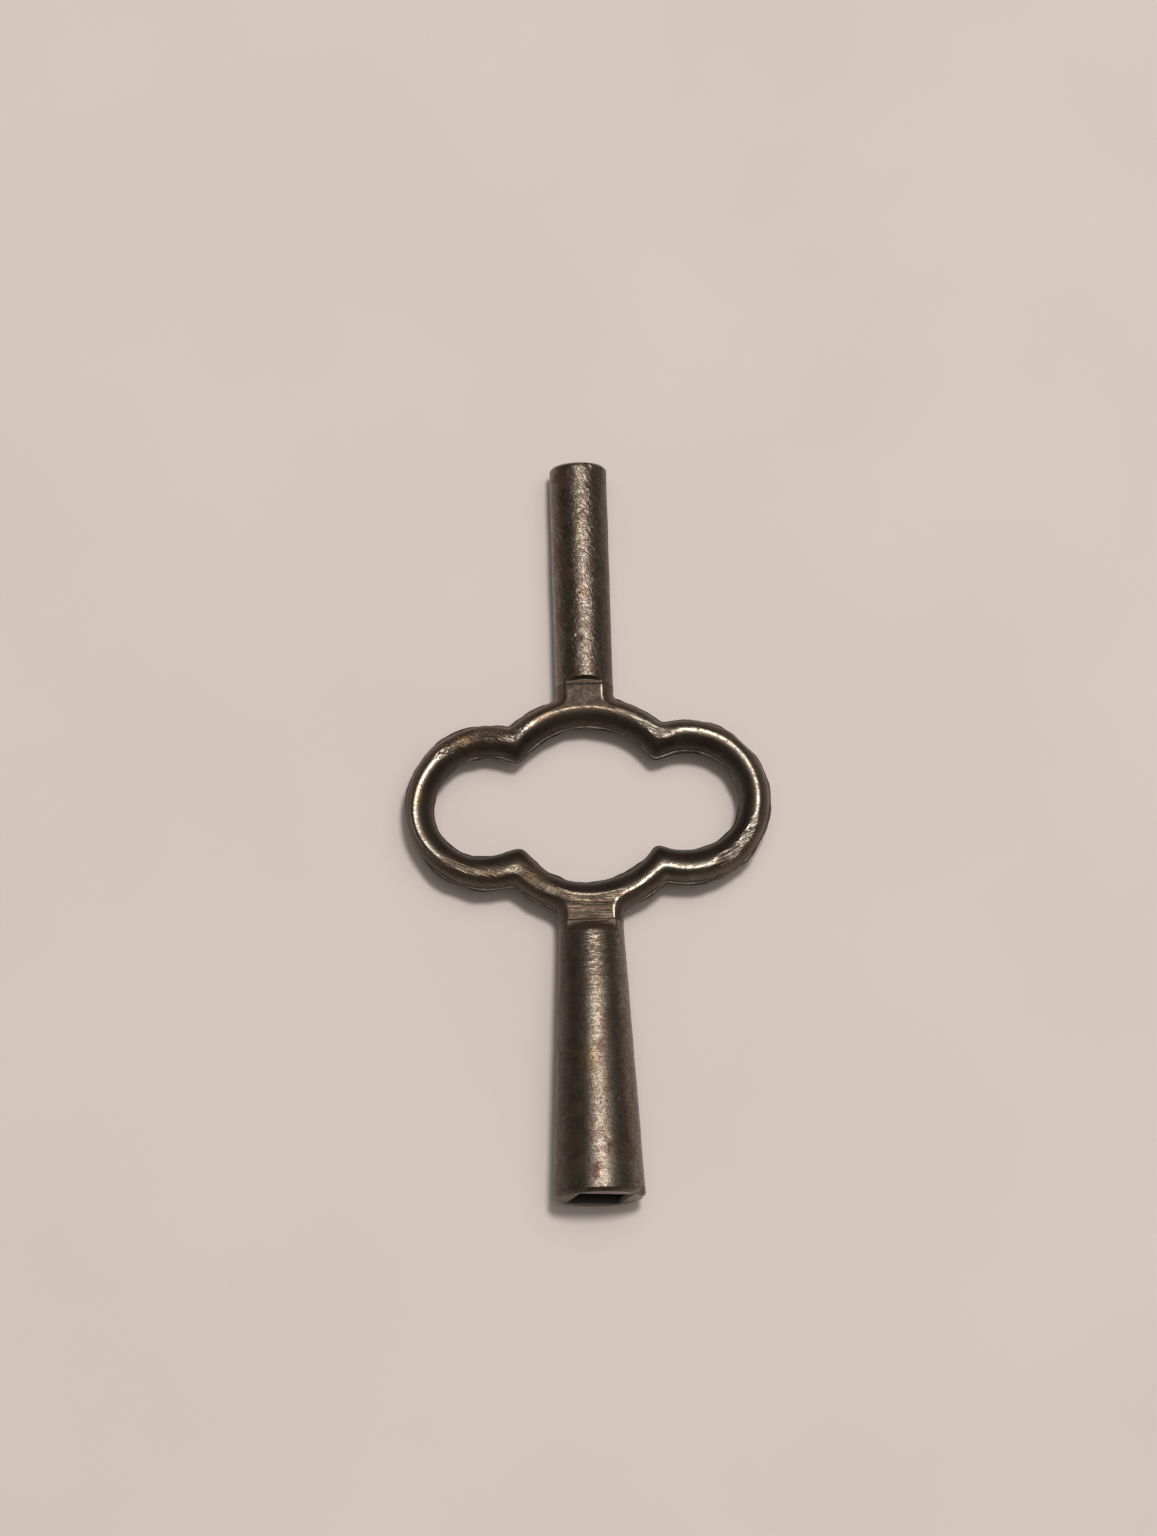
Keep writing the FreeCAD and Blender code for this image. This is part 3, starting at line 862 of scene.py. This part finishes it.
def new_material(name, shared=None):
    """An empty material, its wiring and the place on the object in millimetres."""
    material = bpy.data.materials.new(name)
    material.use_nodes = True
    material.node_tree.nodes.clear()
    wiring = Wiring(material.node_tree, shared)
    coordinates = wiring.node("ShaderNodeTexCoord").outputs["Object"]
    return material, wiring, wiring.scaled(coordinates, 1 / MM)


def add_surface(wiring, height, strength, depth, inputs):
    """A Principled surface whose bumps are depth deep where height changes by 1."""
    bump = wiring.add("ShaderNodeBump", {
        "Strength": strength, "Distance": depth * MM, "Height": height})
    shader = wiring.add("ShaderNodeBsdfPrincipled", {"Normal": bump, **inputs})
    wiring.node("ShaderNodeOutputMaterial", {"Surface": shader})


def iron_material(name, shared, settings, marks):
    """Principled metal fed by the shared iron group; marks adds what is special to a piece.

    marks(wiring, place) returns the iron group's masks, the height of the piece's own strokes
    and the share of a thin film left by handling.
    """
    material, wiring, place = new_material(name, shared)
    masks, strokes, film = marks(wiring, place)
    iron = wiring.group(shared["iron"], {"Place": place, **masks, **settings})
    add_surface(wiring, iron["Height"] + strokes, 1.0, 0.012, {
        "Base Color": iron["Colour"], "Roughness": iron["Roughness"],
        "Metallic": iron["Metal"], "Coat Weight": film, "Coat Roughness": 0.17})
    return material


def spot_masks(wiring, place, named_spots):
    """A mask for each name: 1 at its spots, fading to 0 at their radii."""
    rough_place = wiring.wobbled(place, 1.5, SPOT_WOBBLE)
    shift = Vector.Fill(3, SPOT_WOBBLE * 0.5)
    return SimpleNamespace(**{name: greatest(*(
        wiring.vector("DISTANCE", rough_place, Vector(spot) + shift).step(radius, radius * 0.3)
        for spot, radius in spots)) for name, spots in named_spots.items()})


def ridge_masks(wiring, place, y, across):
    """The parting ridge: its line of painted highlight, the painted shade beside, under and
    below it, and its ledge.
    """
    above = wiring.mask("above")
    on_wall = abs(across).step(WALL_EDGE, WALL_FACE)
    off_necks = abs(y - BOW_CENTRE_Y).step(RIDGE_END, RIDGE_FADE)
    unbroken = wiring.noise(place, 0.5, detail=3.0).step(0.38, 0.58)
    under = above.step(0.07, 0.01) * on_wall
    return SimpleNamespace(
        line=(above.step(0.03, 0.08) * above.step(0.28, 0.14) * on_wall
              * (0.4 + unbroken * 0.6) * off_necks),
        beside=abs(above).step(0.5, 0.25) * on_wall * 0.35,
        under=under,
        below=under * (0.5 + above.step(-1.0, -0.5) * 0.45),
        ledge=above.step(0.36, 0.04) * on_wall * off_necks)


def neck_masks(wiring, place, across, at_setting):
    """The necks' filed flats, with their strokes, a painted highlight on their edges towards the
    lamp, their darker tone and the line before them.
    """
    x, y, z = wiring.parts(place)
    from_centre = hypot(x, y - BOW_CENTRE_Y)
    at_neck = abs(z).step(2.0, 2.12) * abs(x).step(3.9, 2.6)
    flat = at_neck * from_centre.step(9.85, 10.0)
    beyond = abs(y - BOW_CENTRE_Y) - chosen(WINDING_NECK_END, SETTING_NECK_END, at_setting)
    by_seam = flat * chosen((beyond - x * x * 0.13).step(-0.45, -0.2),
                            beyond.step(-0.9, 0.2) * x.step(1.5, -1.5), at_setting)
    # Painted highlight along the flats' edges on the side towards the lamp, at larger x
    painted_edge_highlight = (flat * wiring.mask("side").step(-0.26 + at_setting * 0.06, -0.1)
                 * x.step(-1.5, 1.5) * from_centre.step(10.3, 10.6 + at_setting * 0.3))
    cross = wiring.lines(place, Turn=chosen(0.03, -0.35, at_setting), Fineness=6.0, Length=0.05)
    blotch = wiring.noise(place, 1.5, detail=4.0, roughness=0.65).step(0.4, 0.62)
    grime_and_shade = (0.42 + at_setting * 0.24 - cross * (0.34 - at_setting * 0.31)
             + (blotch - 0.5) * (0.2 + at_setting * 0.1))
    return SimpleNamespace(
        flat=flat * (1.0 - painted_edge_highlight), cross=cross, by_seam=by_seam, painted_edge_highlight=painted_edge_highlight,
        line=at_neck * abs(across + 0.24).step(0.2, 0.08), grime_and_shade=grime_and_shade)


def bow_marks(wiring, place):
    """Bright crown and facets, walls darkened with painted shade, the ridge on them with a
    painted highlight and painted shade, and the filed necks with a painted highlight on their
    edges towards the lamp.
    """
    x, y, z = wiring.parts(place)
    across = wiring.mask("across")
    dull = wiring.mask("dull")
    at_setting = y.over(BOW_CENTRE_Y)
    ridge = ridge_masks(wiring, place, y, across)
    neck = neck_masks(wiring, place, across, at_setting)
    spot = spot_masks(wiring, place, BOW_SPOTS)
    crown = abs(across).step(0.8, 0.2) * abs(z).step(1.7, 2.2)
    rising = wiring.lines(place, Turn=-0.42, Fineness=3.4, Length=0.05)
    falling = wiring.lines(place, Turn=0.45, Fineness=3.2, Length=0.08)
    slant = chosen(rising, falling, at_setting)
    at_nose = x.step(-1.0, -4.0) * (1.0 - at_setting)
    filed = wiring.mask("filed") * (1.0 - at_nose * 0.7)

    crown_dull = greatest(dull * (0.9 - at_nose * 0.5), spot.setting_arch * 0.9,
                          spot.winding_arch * 0.7, spot.nose * 0.85)
    burnish_and_sheen = (crown * (1.0 - crown_dull)).most(filed * (0.4 + slant * 0.6))
    # A painted highlight lies on the necks' flat edges towards the lamp
    burnish_and_sheen = greatest(burnish_and_sheen * (1.0 - spot.dark_facet * 0.75),
                       neck.painted_edge_highlight * (1.5 - at_setting * 0.7), neck.line * 0.3)
    # The ridge's line gets a painted highlight as well
    burnish_and_sheen = greatest(burnish_and_sheen * (1.0 - neck.flat),
                       neck.flat * neck.cross * (0.4 - at_setting * 0.36),
                       dull * falling * 0.5 * (1.0 - at_nose), ridge.line * 0.8)

    # Painted shade: the outer walls get darker towards the lower left, away from the lamp, and
    # less so near the ridge; the inner walls, and most of all their lower part, get darker, less
    # so at the pale nose
    shaded = ((BOW_CENTRE_Y - y) * 0.8 - x * 0.42).step(2.0, 9.0)
    inner = across.step(-0.3, -1.0) * (0.55 - spot.pale_nose * 0.35)
    low_inner = across.step(-0.9, -1.3) * z.step(1.2, 0.2) * 0.8
    outer = across.step(0.35, 0.6) * (0.15 + shaded * 0.55)
    outer = outer * (1.0 - across.step(0.75, 1.05) * 0.5)
    # This mask joins the real soiling of the flats, dull stretches, seams and file strokes with
    # the painted shade on the walls and around the ridge, and leaves out the ridge's painted
    # highlight line
    grime_and_shade = greatest(
        inner, low_inner, outer, ridge.beside, ridge.below, neck.flat * neck.grime_and_shade, dull * 0.15,
        neck.by_seam * 0.6, dull * (1.0 - falling) * at_setting * 0.5,
        filed * (1.0 - slant) * (0.35 + spot.dark_facet * 0.4)) * (1.0 - ridge.line)
    masks = {
        "Burnish": burnish_and_sheen, "Grime": grime_and_shade, "Straw": (spot.straw * 0.6).most(spot.bright_straw),
        "Tan": greatest(dull * (0.8 - at_nose * 0.3), neck.flat * 0.75, spot.pale_nose * 0.6,
                        spot.dark_facet * 0.5, spot.setting_arch * 0.5),
        "Red": spot.red * 0.5,
        # Dry makes the ridge's painted highlight line and its painted dark underside diffuse,
        # and also the seams and the nose
        "Dry": greatest(ridge.under, ridge.line * 0.6, neck.by_seam * 0.4, spot.nose * 0.3),
        "Grain height": (0.4 + dull * 1.6 + neck.flat * (1.6 + at_setting * 1.4)
                         + spot.nose * 1.7)}
    scratches = gouged(wiring, wiring.shared["gouge"],
                       wiring.wobbled(place, 2.2, SCRATCH_WOBBLE), BOW_SCRATCHES, 1.0, 1.0,
                       SCRATCH_WOBBLE * 0.5)
    strokes = (neck.cross * neck.flat * (2.4 - at_setting * 2.2) + slant * filed * 5.0
               + falling * dull * 3.5 + ridge.ledge * 18.0 + slant * crown * 0.5 - scratches)
    return masks, strokes, 0.0


def pipe_marks(seam_y, to_mouth, ramp_end, shaded_side, hatch, film, spots):
    """Marks of a pipe whose back is at seam_y and whose filed ramp is ramp_end long. to_mouth
    is the sign of y towards its mouth, shaded_side that of x on the side that gets painted shade
    while the other side gets a painted sheen, hatch the share of slanting strokes and film the
    strength of the film left by handling."""
    def marks(wiring, place):
        x, y, z = wiring.parts(place)
        from_seam = (y - seam_y) * to_mouth
        shoulder = from_seam.step(9.0, 2.0) * abs(x).step(2.3, 1.5)
        curved = wiring.lines(place, Fineness=2.3, Length=0.16, Bend=-0.06)
        slant = wiring.lines(place, Turn=0.84, Fineness=4.2, Length=0.3)
        worn = wiring.noise(place, 0.9, detail=3.0).step(0.35, 0.7) * 0.4 + 0.12
        on_ramp = from_seam.step(ramp_end + 0.1, ramp_end - 0.1) * abs(z).step(2.0, 2.08)
        arch = abs(z).step(2.2, 2.4)
        # Painted shade inside the mouth's square hole and bore
        in_mouth = wiring.mask("outside").step(0.4, 0.0) * from_seam.step(0.8, 1.6)
        # Darker: the filed ramp, painted shade inside the mouth and on the shaded side, and
        # between the shoulder's strokes
        grime_and_shade = greatest(on_ramp * (0.40 + hatch * 0.1 - arch * 0.2), in_mouth * 0.95,
                         shoulder * (1.0 - curved) * (1.0 - hatch) * 0.4,
                         (x * shaded_side).step(1.0, 2.2) * 0.45)
        # Lighter: worn metal and strokes, with a painted sheen on the side away from the painted
        # shade where hatch is low
        burnish_and_sheen = (worn + slant * 0.3 * hatch + curved * shoulder * 0.4 * (1.0 - hatch)
                   + (x * shaded_side).step(-1.0, -2.2) * (1.0 - hatch) * 0.3)
        spot = spot_masks(wiring, place, spots)
        masks = {"Burnish": burnish_and_sheen * (1.0 - on_ramp), "Grime": grime_and_shade,
                 "Straw": spot.straw * 0.45, "Red": spot.red * 0.6,
                 "Tan": on_ramp * (1.0 - hatch * 0.5), "Dry": on_ramp * 0.2}
        strokes = curved * (0.6 + shoulder * 3.4) * (1.0 - hatch) + slant * hatch * 1.6
        streaks = wiring.noise(wiring.joined(x, y * 0.3, z), 3.0, detail=3.0, roughness=0.7)
        return masks, strokes, streaks.step(0.45, 0.6) * film
    return marks


def brass_material():
    """Brazing filler: brass with a fine cast grain."""
    material, wiring, place = new_material("brazing_brass")
    grain = wiring.noise(place, 3.0, detail=4.0, roughness=0.6)
    add_surface(wiring, grain, 0.5, 0.01, {
        "Base Color": wiring.colour_mix(grain.step(0.35, 0.65), BRASS_DARK, BRASS_LIGHT),
        "Roughness": grain.ramp(0.3, 0.7, 0.3, 0.5), "Metallic": 1.0})
    return material


def paper_material():
    """Matt off-white paper with a faint tooth."""
    material, wiring, place = new_material("pale_paper")
    cloud = wiring.noise(place, 0.03, detail=3.0)
    tooth = wiring.noise(place, 2.5, detail=4.0, roughness=0.6)
    add_surface(wiring, tooth, 0.25, 0.03, {
        "Base Color": wiring.colour_mix(cloud.step(0.3, 0.7), PAPER_DARK, PAPER_LIGHT),
        "Roughness": 0.9, "Specular IOR Level": 0.2})
    return material


def make_paper():
    """The pale sheet that the key rests on."""
    corners = []
    for x, y in ((-1, -1), (1, -1), (1, 1), (-1, 1)):
        x, y = x * PAPER_HALF_WIDTH, y * PAPER_HALF_WIDTH
        corners.append(point(x, y, PAPER_Z + PAPER_RISE_Y * y))
    mesh = bpy.data.meshes.new("paper")
    mesh.from_pydata(corners, [], [(0, 1, 2, 3)])
    mesh.materials.append(paper_material())
    paper = linked("paper", mesh)


def make_camera():
    """The photograph's view of the key."""
    camera = bpy.data.cameras.new("camera")
    camera.sensor_fit = "VERTICAL"
    camera.sensor_height = FRAME_HEIGHT
    camera.lens = LENS
    camera.clip_start = CLIP_START
    camera.clip_end = CLIP_END
    holder = linked("camera", camera)
    turned = Matrix.Rotation(CAMERA_TILT, 4, "X") @ Matrix.Rotation(CAMERA_ROLL, 4, "Z")
    place = CAMERA_TARGET - turned.to_3x3() @ TARGET_FROM_CENTRE
    holder.matrix_world = Matrix.Translation(place * MM) @ turned
    bpy.context.scene.camera = holder


def make_lamp(name, kind, towards, power, **shape):
    """A lamp that shines on the key from the direction towards."""
    lamp = bpy.data.lights.new(name, kind)
    lamp.energy = power
    lamp.color = LAMP_TINT
    for key, value in shape.items():
        setattr(lamp, key, value)
    holder = linked(name, lamp)
    holder.rotation_euler = Vector(towards).to_track_quat("Z", "Y").to_euler()
    return holder


def make_light():
    """A round lamp that faces the middle of the bow, a wide glow and the room's own light."""
    place = point(*LAMP_PLACE)
    lamp = make_lamp("ceiling_lamp", "AREA", place - point(0, BOW_CENTRE_Y, 0), LAMP_POWER,
                     shape="DISK", size=LAMP_DIAMETER * MM)
    lamp.location = place
    make_lamp("ceiling_glow", "SUN", GLOW_TOWARDS, GLOW_POWER, angle=GLOW_SPREAD)
    world = bpy.data.worlds.new("room")
    world.use_nodes = True
    background = world.node_tree.nodes["Background"]
    background.inputs["Color"].default_value = ROOM_TINT
    background.inputs["Strength"].default_value = ROOM_STRENGTH
    bpy.context.scene.world = world
    bpy.context.scene.view_settings.view_transform = "Standard"


def make_key():
    """The bow and both pipes in their iron, and brass for the two filler layers."""
    shared = {"iron": iron_group(), "strokes": strokes_group(),
              "gouge": gouge_group("ShaderNodeTree")}
    bow_iron = iron_material("bow_iron", shared, BOW_IRON, bow_marks)
    winding_iron = iron_material("winding_iron", shared, WINDING_IRON, pipe_marks(
        seam_y=WINDING_SEAM_Y, to_mouth=-1, ramp_end=1.2, shaded_side=-1, hatch=0.15, film=0.03,
        spots=WINDING_SPOTS))
    setting_iron = iron_material("setting_iron", shared, SETTING_IRON, pipe_marks(
        seam_y=SETTING_SEAM_Y, to_mouth=1, ramp_end=0.7, shaded_side=1, hatch=1.0, film=0.16,
        spots=SETTING_SPOTS))
    gouge = gouge_group("GeometryNodeTree")
    uneven = unevenness_group()

    bow = made_by_nodes("forged_bow", forged_bow_tree(bow_distance_group(), gouge, uneven),
                        {"Material": bow_iron})
    winding = made_by_nodes(
        "turned_winding_pipe", turned_pipe_tree(gouge, uneven, WINDING_NICKS),
        {"Material": winding_iron, "Square turn": math.radians(-15.0), "Seed": 1.0})
    setting = made_by_nodes(
        "turned_setting_pipe", turned_pipe_tree(gouge, uneven, SETTING_NICKS),
        {"Material": setting_iron, "Columns": 160, "Facing": -1.0, **in_metres(SETTING_PIPE),
         "Start bow": 0.75, "Length bow": 0.0, "Seed": 2.0})
    for piece, node, slot in ((bow, "bow", "bow_steel"),
                              (winding, "winding_pipe", "pipe_steel"),
                              (setting, "setting_pipe", "pipe_steel")):
        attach(piece, "root")
        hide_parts(node)

    brass = brass_material()
    for node in ("winding_braze", "setting_braze"):
        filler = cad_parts[node]
        filler.data.materials.clear()
        filler.data.materials.append(brass)


make_camera()
make_light()
make_paper()
make_key()
